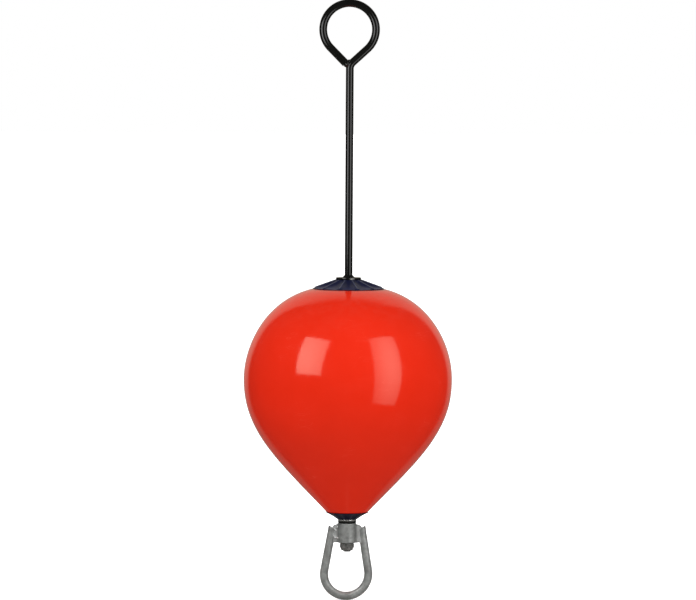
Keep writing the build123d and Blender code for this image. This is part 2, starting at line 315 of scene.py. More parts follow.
# zinc spangle: crystal cells of random brightness with fine frost, and a height for the cell edges
def spangleGroup(pattern):
    group, given, result = newGroup("zincSpangle", {"Size": 0.004}, ["Tone", "Height"])
    place, scale = sizedPlace(group, given)
    wobble = addNoise(group, place, pattern["wobbleScale"], pattern["wobbleDetail"])["Color"]
    bent = addNode(group, "ShaderNodeVectorMath", {"operation": "MULTIPLY_ADD"})
    for socket, value in zip(bent.inputs, (wobble, (pattern["wobble"],) * 3, place)):
        feed(group, socket, value)
    cells = addNode(group, "ShaderNodeTexVoronoi", Vector=bent.outputs["Vector"], Scale=scale)
    tone = addNode(group, "ShaderNodeSeparateColor", Color=cells.outputs["Color"])
    cellTone = sums(group, "MULTIPLY", tone.outputs["Red"], 1 - pattern["frostShare"])
    frost = addNoise(group, place, pattern["frostScale"], pattern["frostDetail"])["Fac"]
    blend = sums(group, "MULTIPLY_ADD", frost, pattern["frostShare"], cellTone)
    group.links.new(blend, result.inputs["Tone"])
    group.links.new(cells.outputs["Distance"], result.inputs["Height"])
    return group


mottle, spangle = mottleGroup(), spangleGroup(spanglePattern)
layerGroups = {"settledDust": dustGroup(dustPattern), "rubMarks": rubGroup(rubPattern)}


# shared group placed in a material, as its outputs
def useGroup(tree, group, **values):
    return addNode(tree, "ShaderNodeGroup", {"node_tree": group}, **values).outputs


# mottle placed in a material, as its value
def mottled(tree, **values):
    return useGroup(tree, mottle, **values)["Value"]


# mark on a piece's points, as a value
def markOf(tree, name):
    return addNode(tree, "ShaderNodeAttribute", {"attribute_name": name}).outputs["Fac"]


# new material, as itself, its tree and its shader; the constants go on the shader's own sockets
def newLook(name, **constants):
    look = bpy.data.materials.new(name)
    look.use_nodes = True
    shader = look.node_tree.nodes["Principled BSDF"]
    for key, value in constants.items():
        shader.inputs[key.replace("_", " ")].default_value = value
    return look, look.node_tree, shader


# colour and roughness linked to a shader
def dress(tree, shader, colour, roughness):
    tree.links.new(colour, shader.inputs["Base Color"])
    tree.links.new(roughness, shader.inputs["Roughness"])


# bump of a height in metres under the shader's normal, on top of an earlier bump
def addBump(tree, shader, height, distance):
    bump = addNode(tree, "ShaderNodeBump", Height=height, Strength=1.0, Distance=distance)
    if shader.inputs["Normal"].links:
        tree.links.new(shader.inputs["Normal"].links[0].from_socket, bump.inputs["Normal"])
    tree.links.new(bump.outputs["Normal"], shader.inputs["Normal"])


# Each finish has its shader's constants, two tones that a mottle clouds together, a roughness, a fine grain
# and layers: a colour under a mask, which is a shared group's or a mark on the piece's points.
finishes = {
    "float_vinyl": {
        "name": "floatVinyl", "shader": {"IOR": 1.56, "Specular_Tint": (1, 0.93, 0.74, 1)},
        "tones": ((0.705, 0.0203, 0.0056), (0.765, 0.0223, 0.0064)), "cloud": {"Size": 0.14},
        "rough": {"Size": 0.035, "Low": 0.085, "High": 0.135},
        "grain": {"Size": 0.006, "Detail": 1.0}, "grainHeight": 0.02 * mm,
        "layers": {
            "rubMarks": {
                "colour": (0.86, 0.075, 0.045), "group": {"Size": 0.05, "Amount": 0.25},
                "rougher": 0.4, "height": -0.03 * mm,
            },
            "settledDust": {"colour": (0.62, 0.20, 0.15), "group": {"Size": 0.012, "Amount": 0.05}},
            # painted shade: dark red where the crown meets the top cap
            "paintedLipShade": {"colour": (0.20, 0.010, 0.005)},
        },
    },
    "cap_plastic": {
        "name": "capPlastic", "shader": {"IOR": 1.49, "Specular_IOR_Level": 0.27},
        "tones": ((0.0048, 0.0062, 0.028), (0.0075, 0.0095, 0.038)), "cloud": {"Size": 0.018},
        "rough": {"Size": 0.009, "Low": 0.28, "High": 0.36},
        "grain": {"Size": 0.0011}, "grainHeight": 0.02 * mm,
        "layers": {
            # painted shade: near-black over the lower cap, which hangs in the float's shadow
            "paintedCapShade": {"colour": (0.0030, 0.0016, 0.0060)},
            # painted reflection: bluish in the grooves near the rim
            "paintedSheen": {"colour": (0.034, 0.031, 0.085)},
            # painted highlight: pale patchy lines along the ribs
            "paintedHighlight": {"colour": (0.075, 0.080, 0.140), "patchy": {"Size": 0.004, "Low": 0.65, "High": 1.0}},
            "settledDust": {"colour": (0.20, 0.20, 0.24), "group": {"Size": 0.006, "Amount": 0.03}},
        },
    },
    "black_bar": {
        "name": "blackBar", "shader": {"IOR": 1.56},
        "tones": ((0.0030, 0.0030, 0.0027), (0.0050, 0.0050, 0.0045)), "cloud": {"Size": 0.03},
        "rough": {"Size": 0.012, "Low": 0.10, "High": 0.16},
        "grain": {"Size": 0.006, "Detail": 1.0}, "grainHeight": 0.012 * mm,
        "layers": {
            "settledDust": {"colour": (0.10, 0.10, 0.095), "group": {"Size": 0.004, "Amount": 0.05}},
            # painted highlight: grey on the flange's rim at one spot
            "paintedRimHighlight": {"colour": (0.25, 0.245, 0.23)},
        },
    },
    "bright_steel": {
        "name": "brightSteel", "shader": {"Metallic": 0.85},
        "tones": ((0.66, 0.66, 0.64), (0.90, 0.90, 0.88)), "cloud": {"Size": 0.005},
        "rough": {"Size": 0.002, "Low": 0.19, "High": 0.29},
        "grain": {"Size": 0.0006}, "grainHeight": 0.01 * mm, "layers": {},
    },
    "bearing_plastic": {
        "name": "bearingPlastic", "shader": {"IOR": 1.49, "Specular_IOR_Level": 0.3},
        "tones": ((0.0040, 0.0042, 0.0036), (0.012, 0.0125, 0.0105)), "cloud": {"Size": 0.003},
        "rough": {"Size": 0.002, "Low": 0.32, "High": 0.48},
        "grain": {"Size": 0.0005}, "grainHeight": 0.01 * mm, "layers": {},
    },
    "nut_steel": {
        "name": "nutSteel", "shader": {"Metallic": 0.7},
        "tones": ((0.17, 0.168, 0.160), (0.42, 0.415, 0.40)), "cloud": {"Size": 0.004, "Detail": 5.0},
        "rough": {"Size": 0.0015, "Low": 0.13, "High": 0.27},
        "grain": {"Size": 0.0006}, "grainHeight": 0.03 * mm, "layers": {},
    },
}


# mask of a layer: a shared group's, or a mark's, which may be patchy
def layerMask(tree, name, layer):
    if "group" in layer:
        return useGroup(tree, layerGroups[name], **layer["group"])["Mask"]
    mask = markOf(tree, name)
    if "patchy" in layer:
        mask = sums(tree, "MULTIPLY", mask, mottled(tree, **layer["patchy"]))
    return mask


# material of a finish, its layers one over the other; a layer may also be rougher, and raised or sunk
def makeLook(finish):
    look, tree, shader = newLook(finish["name"], **finish["shader"])
    colour = mixColours(tree, mottled(tree, **finish["cloud"]), *finish["tones"])
    rough = mottled(tree, **finish["rough"])
    addBump(tree, shader, mottled(tree, **finish["grain"]), finish["grainHeight"])
    for name, layer in finish["layers"].items():
        mask = layerMask(tree, name, layer)
        colour = mixColours(tree, mask, colour, layer["colour"])
        if "rougher" in layer:
            rough = sums(tree, "MULTIPLY_ADD", mask, layer["rougher"], rough)
            addBump(tree, shader, mask, layer["height"])
    dress(tree, shader, colour, rough)
    return look


zinc = {
    "dark": (0.29, 0.305, 0.295), "light": (0.50, 0.515, 0.50), "stain": (0.18, 0.18, 0.17),
    # the pale colour paints highlights, the near-black one paints shade
    "paintedHighlight": (0.92, 0.93, 0.92), "creviceShade": (0.06, 0.062, 0.056),
    "shader": {"Metallic": 0.5},
    "cells": {"Size": 0.0045}, "cellHeight": 0.03 * mm,
    "stains": {"Size": 0.011, "Low": -0.25, "High": 0.55},
    "edgeShadeBlend": 0.25, "edgeShadeShare": 0.8,
    "roughest": 0.50, "roughTone": -0.16,
    "lumps": {"Size": 0.0025, "Detail": 4.0}, "lumpHeight": 0.12 * mm,
}


# zinc: spangled and stained; painted highlight on crests, painted shade in crevices and towards its edges
def zincLook(finish):
    look, tree, shader = newLook("hotDipZinc", **finish["shader"])
    cells = useGroup(tree, spangle, **finish["cells"])
    body = mixColours(tree, cells["Tone"], finish["dark"], finish["light"])
    stained = sums(tree, "MAXIMUM", mottled(tree, **finish["stains"]), 0.0)
    body = mixColours(tree, stained, body, finish["stain"])
    body = mixColours(tree, markOf(tree, "paintedHighlight"), body, finish["paintedHighlight"])
    # painted shade: darker where the surface turns away from the camera
    rim = addNode(tree, "ShaderNodeLayerWeight", Blend=finish["edgeShadeBlend"]).outputs["Facing"]
    shade = sums(tree, "MULTIPLY", rim, finish["edgeShadeShare"])
    shade = sums(tree, "MAXIMUM", markOf(tree, "creviceShade"), shade)
    rough = sums(tree, "MULTIPLY_ADD", cells["Tone"], finish["roughTone"], finish["roughest"])
    dress(tree, shader, mixColours(tree, shade, body, finish["creviceShade"]), rough)
    addBump(tree, shader, mottled(tree, **finish["lumps"]), finish["lumpHeight"])
    addBump(tree, shader, cells["Height"], finish["cellHeight"])
    return look


looks = {slot: makeLook(finish) for slot, finish in finishes.items()}
looks["galvanised_steel"] = zincLook(zinc)
print("materials made:", len(looks))

barRadius = span("through_bar")[0]
boreRadius = barRadius + 0.3 * mm  # pieces that slip over the bar

topCapSizes = {
    "node": "top_cap", "up": 1, "height": 18.8 * mm, "hub": 24.5 * mm, "hollow": 0.0,
    "spigot": 30 * mm, "ribHeight": 5.8 * mm, "ribInset": 1.2 * mm,
    "rimPlate": 3.5 * mm, "skirt": 1.3 * mm, "skirtLow": 2.7 * mm,
    "fluteHub": 0.9 * mm, "fluteRim": 2.4 * mm, "scoop": 2.5 * mm,
    # painted reflection in the grooves, no painted shade
    "paintedSheen": 1.0, "paintedCapShade": 0.0,
}
bottomCapSizes = {
    "node": "bottom_cap", "up": -1, "height": 12.2 * mm, "hub": 18.3 * mm, "hollow": 0.5 * mm,
    "spigot": 20 * mm, "ribHeight": 1.9 * mm, "ribInset": 0.8 * mm,
    "rimPlate": 1.0 * mm, "skirt": 1.6 * mm, "skirtLow": 0.0,
    "fluteHub": 0.7 * mm, "fluteRim": 1.4 * mm, "scoop": 0.4 * mm,
    # no painted reflection, painted shade over the whole lower cap
    "paintedSheen": 0.0, "paintedCapShade": 0.7,
}

floatSkin = {
    "equator": 20 * mm, "wall": 5 * mm,
    "crownSlope": 13.4, "crownReach": 85 * mm, "crownFullness": 64 * mm, "crownSteps": 70,
    "coneSlope": 45.8, "coneReach": 136 * mm, "coneFullness": 89 * mm, "coneSteps": 90,
    "insideEvery": 4,  # the unseen inside has one row for so many outside
    "capFit": 0.3 * mm, "lipWidth": 1.3 * mm, "lipEdge": 0.5 * mm,
    "footMargin": 0.5 * mm, "footEdge": 0.4 * mm, "footFall": 0.1 * mm,
    "topBore": 30.3 * mm, "bottomBore": 20.3 * mm,
    "waveHeight": 0.3 * mm, "waveSize": 105 * mm,
    "lipShadeReach": 4.5 * mm,
    "columns": 224,
}


# float: crown and cone are one cubic curve each, meeting upright at the widest circle, turned about the bar;
# the wall's inside is the same curve set in by the wall. A narrow lip is left round the top cap's recess.
# Slow waves of the pumped-up skin are added along the normal. Painted shade darkens the crown near the lip.
def makeFloat(size):
    widestRadius, bottom, top = span("float_body")
    seat = span("top_cap")[2] - topCapSizes["height"]
    inner = span("top_cap")[0] + size["capFit"]
    edge = np.array([inner + size["lipWidth"], top])
    widest = np.array([widestRadius, size["equator"]])
    foot = np.array([span("bottom_cap")[0] + size["footMargin"], bottom])
    handle = edge + heading(-size["crownSlope"]) * size["crownReach"]
    crown = bezier([edge, handle, widest + heading(90) * size["crownFullness"], widest], size["crownSteps"])
    coneHandle = foot + heading(size["coneSlope"]) * size["coneReach"]
    coneTop = widest - heading(90) * size["coneFullness"]
    cone = bezier([widest, coneTop, coneHandle, foot], size["coneSteps"])
    lip = size["lipEdge"]
    recess = outline(
        straight((size["topBore"], seat - size["wall"]), (size["topBore"], seat)),
        straight((size["topBore"], seat), (inner, seat), 2),
        arc((inner + lip, top - lip), lip, 180, 90),
    )
    skin = outline(crown, cone)
    inside = (skin - outlineNormals(skin) * size["wall"])[:: -size["insideEvery"]]
    footRing = outline(
        straight(foot, (foot[0] - size["footEdge"], bottom - size["footFall"])),
        straight((foot[0] - 2 * size["footEdge"], bottom), (size["bottomBore"], bottom), 2),
        (size["bottomBore"], bottom + size["wall"]),
    )
    shape = outline(recess, skin, footRing, inside)
    angles = roundAngles(size["columns"])
    points = turned(shape[:, :1], shape[:, 1:], angles)
    normal = outlineNormals(shape)
    begin, end = len(recess), len(recess) + len(skin) - 1
    share = np.zeros(len(shape))  # waves fade out at both ends of the skin
    share[begin:end] = np.sqrt(np.sin(np.linspace(0, np.pi, end - begin)))
    wave = uneven(points, size["waveSize"]) * size["waveHeight"] * share[:, None]
    points += turned(normal[:, :1], normal[:, 1:], angles) * wave[..., None]
    # painted shade: the recess rows under the cap's skirt are fully dark, and the crown darkens by a hump of
    # the distance from the lip
    paintedLipShade = np.zeros((len(shape), 1))
    paintedLipShade[:begin] = 1
    paintedLipShade[begin : begin + len(crown), 0] = hump(runLength(crown), size["lipShadeReach"])
    marks = {"paintedLipShade": paintedLipShade}
    addPiece("floatSkin", points, "buoy", "float_vinyl", ["float_body"], ring=True, marks=marks)


makeFloat(floatSkin)

flutes = {
    "count": 12, "land": 1.2 * mm, "soft": 0.10 * mm, "hubGap": 0.2 * mm, "rimEdge": 0.35 * mm,
    # half width of the painted highlight on each rib, and how fast the painted reflection grows towards the
    # rim
    "paintedHighlight": 0.8 * mm, "sheenPower": 2.5,
    "columnsEach": 44, "rows": 44, "endRows": 4, "topSteps": 3,
}


# fluted cap: a cone from hub to rim with round grooves. Across a groove of half width w and depth d the cut
# is a circle of radius R = (w^2 + d^2) / 2d, so at an offset t its depth is sqrt(R^2 - t^2) - (R - d), taken
# off along the cone's normal and eased to nothing on the ribs. Heights count from the seat on the float.
# Marks, all painted light: highlight along the ribs' lines, bluish reflection in the grooves towards the
# rim, shade all over the lower cap.
def makeCap(name, size):
    rim, low, high = span(size["node"])
    seat = high - size["height"] if size["up"] > 0 else low + size["height"]
    spigotDepth = high - low - size["height"]
    ribEnd = np.array([rim - size["ribInset"], size["ribHeight"]])
    hub = np.array([size["hub"], size["height"]])
    s = np.linspace(0, 1, flutes["rows"])[:, None]
    run = (ribEnd - hub) / np.linalg.norm(ribEnd - hub)
    outward = np.array([-run[1], run[0]])
    slope = hub + (ribEnd - hub) * s - outward * (arch(s) * size["hollow"])
    angles = roundAngles(flutes["count"] * flutes["columnsEach"])
    pitch = 2 * np.pi / flutes["count"]
    off = offFrom(angles, 0, pitch)  # from the middle of the nearest groove
    halfWidth = slope[:, :1] * np.sin(pitch / 2) - flutes["land"] / 2
    depth = size["fluteHub"] + (size["fluteRim"] - size["fluteHub"]) * s + arch(s) * size["scoop"]
    radius = (halfWidth**2 + depth**2) / (2 * depth)
    across = slope[:, :1] * np.sin(off)
    cut = np.sqrt(np.maximum(radius**2 - across**2, 0)) - (radius - depth)
    cut = (cut + np.sqrt(cut**2 + flutes["soft"] ** 2)) / 2
    r = slope[:, :1] - outward[0] * cut
    h = np.maximum(slope[:, 1:] - outward[1] * cut, size["rimPlate"])
    lip = flutes["rimEdge"]
    reach = rim + size["skirt"]
    fall = np.linspace(0, 1, flutes["endRows"] + 1)[1:, None]  # the ribs' end faces, down to the rim plate
    endR = r[-1:] + (reach - lip - r[-1:]) * fall
    endH = h[-1:] + (size["rimPlate"] - h[-1:]) * fall
    hubStop = (hub[0] - flutes["hubGap"], size["height"])
    top = straight((boreRadius, size["height"]), hubStop, flutes["topSteps"])
    under = outline(
        arc((reach - lip, size["rimPlate"] - lip), lip, 90, 0),
        straight((reach, size["skirtLow"]), (rim, size["skirtLow"])),
        straight((rim, 0), (size["spigot"], 0), 2),
        straight((size["spigot"], -spigotDepth), (boreRadius, -spigotDepth)),
    )
    wide = np.ones_like(angles)
    allR = np.concatenate([top[:, :1] * wide, r, endR, under[:, :1] * wide])
    allH = np.concatenate([top[:, 1:] * wide, h, endH, under[:, 1:] * wide])
    onSlope = slice(len(top), len(top) + flutes["rows"])
    paintedHighlight, paintedSheen = np.zeros_like(allR), np.zeros_like(allR)
    # painted highlight along the ribs and painted reflection in the grooves
    fromRib = (pitch / 2 - np.abs(off)) * slope[:, :1]
    paintedHighlight[onSlope] = hump(fromRib, flutes["paintedHighlight"])
    inGroove = np.clip(1 - (across / halfWidth) ** 2, 0, 1)
    paintedSheen[onSlope] = size["paintedSheen"] * s ** flutes["sheenPower"] * inGroove
    points = turned(allR, seat + size["up"] * allH, angles)
    marks = {"paintedHighlight": paintedHighlight * (1 - size["paintedCapShade"]), "paintedSheen": paintedSheen, "paintedCapShade": size["paintedCapShade"]}
    addPiece(name, points, "buoy", "cap_plastic", [size["node"]], ring=True, marks=marks)


makeCap("topCap", topCapSizes)
makeCap("bottomCap", bottomCapSizes)

barEye = {
    "radius": 47 * mm, "aside": -0.8 * mm, "rise": 63 * mm, "bend": 16 * mm,
    "tailDrop": 4.9 * mm, "tailSetback": 10.5 * mm,
    "tipChamfer": 1.4 * mm, "threadPitch": 2.0 * mm, "threadDepth": 0.9 * mm, "threadLength": 12 * mm,
    "threadTop": 1.15, "threadFall": 2.6,  # the wave's top, cut off at 1, and its fall on both sides
    "threadSteps": 72, "shankSteps": 60, "bendSteps": 16, "legSteps": 6, "eyeSteps": 96, "columns": 48,
}


# where the eye's parts lie, in the XZ plane: its middle, the corner on the axis, both legs' angles from
# upright, and the corner and the heading of the tail
def eyePlan(size):
    middle = np.array([size["aside"], span("pick_up_eye")[2] - size["radius"] - barRadius])
    corner = np.array([0, middle[1] - size["rise"]])
    tailCorner = corner - (0, size["tailDrop"])
    toMiddle, tailToMiddle = middle - corner, middle - tailCorner
    legTurn = np.arcsin(size["radius"] / np.hypot(*toMiddle)) + np.arctan2(*toMiddle)
    tailTurn = np.arcsin(size["radius"] / np.hypot(*tailToMiddle)) - np.arctan2(*tailToMiddle)
    legTurn, tailTurn = np.degrees(legTurn), np.degrees(tailTurn)
    return middle, corner, legTurn, tailTurn, tailCorner, heading(90 + tailTurn)


# bar and eye: a circle carried up the axis, round a small bend, along the leg, round the eye and down the
# tail. On the tip the radius drops by a triangle wave of the helix (z / pitch + angle / turn): the thread.
def makeBar(size):
    middle, corner, legTurn, tailTurn, tailCorner, tailAlong = eyePlan(size)
    tip = span("through_bar")[1]
    threadEnd = tip + size["threadLength"]
    bendStart = corner[1] - size["bend"] * np.tan(np.radians(legTurn / 2))
    legStart = corner + heading(90 - legTurn) * (corner[1] - bendStart)
    legStop = middle + heading(-legTurn) * size["radius"]
    tailStart = middle + heading(180 + tailTurn) * size["radius"]
    tailStop = tailCorner + tailAlong * size["tailSetback"]
    path = outline(
        straight((0, tip), (0, threadEnd), size["threadSteps"]),
        straight((0, threadEnd), (0, bendStart), size["shankSteps"]),
        arc((size["bend"], bendStart), size["bend"], 180, 180 - legTurn, size["bendSteps"]),
        straight(legStart, legStop, size["legSteps"]),
        arc(middle, size["radius"], -legTurn, 180 + tailTurn, size["eyeSteps"]),
        straight(tailStart, tailStop, size["legSteps"]),
    )
    angles = roundAngles(size["columns"])
    above = path[:, 1:] - tip
    onThread = np.arange(len(path))[:, None] <= size["threadSteps"]
    helix = (above / size["threadPitch"] + angles / (2 * np.pi)) % 1
    wave = np.clip(size["threadTop"] - size["threadFall"] * np.abs(helix - 0.5), 0, 1)
    runOut = np.clip((size["threadLength"] - above) / size["threadPitch"], 0, 1)
    chamfer = np.clip(size["tipChamfer"] - above, 0, None)
    r = barRadius - np.where(onThread, np.maximum(size["threadDepth"] * wave * runOut, chamfer), 0)
    points = carried(path, r, angles)
    addPiece("barWithEye", points, "buoy", "black_bar", ["through_bar", "pick_up_eye"])


makeBar(barEye)

# aside and above: from the corner of the eye; deep: stretch along Y
eyeBead = {
    "balls": {
        "eyeBead": {
            "aside": -5.0 * mm, "above": 1.9 * mm, "radius": 6.8 * mm, "deep": 1.2, "nodes": ["eye_weld"],
        },
        "eyeBeadInside": {
            "aside": -1.6 * mm, "above": 5.2 * mm, "radius": 4.4 * mm, "deep": 1.25, "nodes": [],
        },
    },
    "ripple": 0.3 * mm, "ripples": 7, "rippleSway": 0.25,
    "lump": 0.35 * mm, "lumpSize": 9 * mm, "lumpPhase": 0.4,
    "rows": 60, "columns": 72,
}


# weld at the eye's neck: two balls, drawn out along Y, over the tail's end and in the fork above it; rings
# of cos(ripples times the angle along the tail) stand on them like a run of puddles, with uneven lumps
def makeEyeBead(size):
    _, corner, *_, tailAlong = eyePlan(barEye)
    lat = np.linspace(0, np.pi, size["rows"] + 2)[1:-1, None]
    lon = roundAngles(size["columns"])
    along = np.array([tailAlong[0], 0, tailAlong[1]])
    side = np.array([0, 1, 0])
    over = np.cross(along, side)
    ball = (
        np.cos(lat)[..., None] * along
        + (np.sin(lat) * np.cos(lon))[..., None] * side
        + (np.sin(lat) * np.sin(lon))[..., None] * over
    )
    ring = np.abs(np.cos(size["ripples"] * (lat + size["rippleSway"] * np.sin(lon)))) * np.sin(lat)
    for name, lump in size["balls"].items():
        swell = uneven(ball * lump["radius"], size["lumpSize"], size["lumpPhase"])
        r = lump["radius"] + size["ripple"] * ring + size["lump"] * swell
        middle = np.array([corner[0] + lump["aside"], 0, corner[1] + lump["above"]])
        points = middle + ball * r[..., None] * np.array([1, lump["deep"], 1])
        addPiece(name, points, "buoy", "black_bar", lump["nodes"])


makeEyeBead(eyeBead)


# ring of a given inner radius, with its outer corners rounded: a rounded box outline to turn about the bar
def ringOutline(inner, outer, low, high, edge, edgeSteps=5, wallSteps=1):
    return outline(
        straight((inner, low), (inner, high)),
        arc((outer - edge, high - edge), edge, 90, 0, edgeSteps),
        straight((outer, high - edge), (outer, low + edge), wallSteps),
        arc((outer - edge, low + edge), edge, 0, -90, edgeSteps),
    )


stopFlange = {
    "edge": 0.8 * mm, "sunk": 0.6 * mm, "columns": 256,
    "highlightAt": -1.33, "highlightHalf": 0.11,  # where round the bar the rim carries a painted highlight, and half how wide
}


# stop flange: a plate ring on the bar; a hump of the angle from one place paints a highlight on its rim
def makeFlange(size):
    outer, low, high = span("stop_flange")
    shape = ringOutline(barRadius - size["sunk"], outer, low, high, size["edge"])
    angles = roundAngles(size["columns"])
    points = turned(shape[:, :1], shape[:, 1:], angles)
    onRim = shape[:, :1] > outer - size["edge"] / 8
    # painted highlight on the rim
    marks = {"paintedRimHighlight": hump(offFrom(angles, size["highlightAt"], 2 * np.pi), size["highlightHalf"]) * onRim}
    addPiece("stopFlange", points, "buoy", "black_bar", ["stop_flange"], ring=True, marks=marks)


makeFlange(stopFlange)

flangeBead = {
    "hollow": 0.245 * mm,  # in and down, at the slope's middle
    "sunk": 0.6 * mm,
    "ripple": 0.42 * mm, "ripples": 19, "lag": 0.55, "easing": 0.6,
    "swing": 0.25, "swings": 3, "swingPhase": 0.7,  # the puddles' size swings so many times round the bar
    "rows": 22, "columns": 304, "sharp": 60,
}


# fillet weld on the flange: a slightly hollow slope from bar to plate, turned about the bar. Puddles stack
# round it: the push, outward and upward alike, is the square root of a falling saw of (ripples times the
# angle, lagging on the slope's edges).
def makeFlangeBead(size):
    foot, low, high = span("flange_weld")
    t = np.linspace(0, 1, size["rows"])[:, None]
    slope = np.array([barRadius, high]) * (1 - t) + np.array([foot, low]) * t - size["hollow"] * arch(t)
    sunk = size["sunk"]
    shape = outline(slope, (foot, low - sunk), (barRadius - sunk, low - sunk), (barRadius - sunk, high))
    angles = roundAngles(size["columns"])
    lag, rise = np.zeros((len(shape), 1)), np.zeros((len(shape), 1))
    lag[: size["rows"]] = size["lag"] * (2 * t - 1) ** 2
    rise[: size["rows"]] = np.sin(np.pi * t) ** size["easing"]
    saw = (size["ripples"] * angles / (2 * np.pi) + lag) % 1
    swing = 1 + size["swing"] * np.sin(size["swings"] * angles + size["swingPhase"])
    push = rise * size["ripple"] * np.sqrt(1 - saw) * swing * np.sqrt(0.5)
    points = turned(shape[:, :1] + push, shape[:, 1:] + push, angles)
    addPiece("flangeBead", points, "buoy", "black_bar", ["flange_weld"], ring=True, sharp=size["sharp"])


makeFlangeBead(flangeBead)

washers = {
    "thrustWasher": {"node": "thrust_washer", "edge": 1.4 * mm, "slot": "bright_steel"},
    "bearingRing": {"node": "bearing_ring", "edge": 1.2 * mm, "slot": "bearing_plastic"},
}
washerColumns = 112


# thrust washer and bearing ring: rounded rings on the bar
def makeWashers(sizes):
    for name, size in sizes.items():
        outer, low, high = span(size["node"])
        shape = ringOutline(boreRadius, outer, low, high, size["edge"])
        points = turned(shape[:, :1], shape[:, 1:], roundAngles(washerColumns))
        addPiece(name, points, "buoy", size["slot"], [size["node"]], ring=True)


makeWashers(washers)

lockNut = {
    "acrossFlats": 22 * mm, "hexHeight": 9.4 * mm, "flatSteps": 8, "sunk": 0.6 * mm,
    "chamfer": 1.3 * mm, "chamferInset": 0.2 * mm, "chamferSteps": 12,
    "collar": 11.0 * mm, "collarEdge": 3.2 * mm, "collarSteps": 10,
    "columnsEach": 32, "sharp": 24,
}


# lock nut: at each height the radius is the smaller of the hexagon's, flat / cos(angle from the flat's
# middle), and the turned outline's, which cuts the corners off; below it a round collar with a rolled edge
def makeNut(size):
    low, high = span("lock_nut")[1:]
    flat = size["acrossFlats"] / 2
    corner = flat / np.cos(np.pi / 6)
    face = flat - size["chamferInset"]
    hexLow = high - size["hexHeight"]
    hexTop, hexBottom = high - size["chamfer"], hexLow + size["chamfer"]
    lip = size["collarEdge"]
    bore = barRadius - size["sunk"]
    shape = outline(
        straight((bore, low), (bore, high)),
        straight((face, high), (corner, hexTop), size["chamferSteps"]),
        straight((corner, hexTop), (corner, hexBottom), size["flatSteps"]),
        straight((corner, hexBottom), (face, hexLow), size["chamferSteps"]),
        straight((face, hexLow), (size["collar"], hexLow)),
        arc((size["collar"] - lip, low + lip), lip, 0, -90, size["collarSteps"]),
    )
    angles = roundAngles(6 * size["columnsEach"])
    hexagon = flat / np.cos(offFrom(angles, -np.pi / 2, np.pi / 3))  # one flat looks along -Y
    points = turned(np.minimum(shape[:, :1], hexagon), shape[:, 1:], angles)
    addPiece("lockNut", points, "buoy", "nut_steel", ["lock_nut"], ring=True, sharp=size["sharp"])


makeNut(lockNut)

sleeveSizes = {
    "edge": 1.9 * mm, "edgeSteps": 8, "columns": 144, "rows": 48,
    "unevenHeight": 0.10 * mm, "unevenSize": 9 * mm,
    "creviceShade": 0.5, "creviceHalf": 0.62,
}


# sleeve: a thick ring with rounded corners and the slight swell of a dipped coat, with painted shade towards
# the webs by a hump of the angle from them
def makeSleeve(size):
    outer, low, high = span("swivel_sleeve")
    shape = ringOutline(boreRadius, outer, low, high, size["edge"], size["edgeSteps"], size["rows"])
    angles = roundAngles(size["columns"])
    points = turned(shape[:, :1], shape[:, 1:], angles)
    onWall = (shape[:, :1] > outer - size["edge"] / 2) * size["unevenHeight"]
    swell = onWall * uneven(points, size["unevenSize"])
    points = turned(shape[:, :1] + swell, shape[:, 1:], angles)
    marks = {"creviceShade": size["creviceShade"] * hump(offFrom(angles, 0, np.pi), size["creviceHalf"])}
    addPiece("swivelSleeve", points, "swivel", "galvanised_steel", ["swivel_sleeve"], ring=True, marks=marks)


makeSleeve(sleeveSizes)

loopSizes = {
    "bar": 7.25 * mm, "radius": 39.6 * mm, "rootGap": 1.6 * mm, "tipDrop": 6.0 * mm, "tipEdge": 0.9 * mm,
    "tipSlant": 26, "slantFrom": 5.5 * mm, "slantReach": 14 * mm,
    "sway": -0.013,  # sideways for each unit below the tips
    "unevenHeight": 0.12 * mm, "unevenSize": 11 * mm, "unevenPhase": 1.0,
    "legSteps": 40, "bowSteps": 84, "rimRows": 4, "columns": 56,
}


# the loop's plan in the XZ plane: bow centre, right leg's tip, and the leg's lean from upright in degrees
def loopPlan(size):
    outer, _, high = span("swivel_sleeve")
    bow = np.array([0, span("swivel_loop")[1] + size["radius"] + size["bar"]])
    tip = np.array([outer + size["rootGap"] + size["bar"], high - size["tipDrop"]])
    reach = tip - bow
    lean = np.degrees(np.arcsin(size["radius"] / np.hypot(*reach)) - np.arctan2(*reach))
    return bow, tip, lean


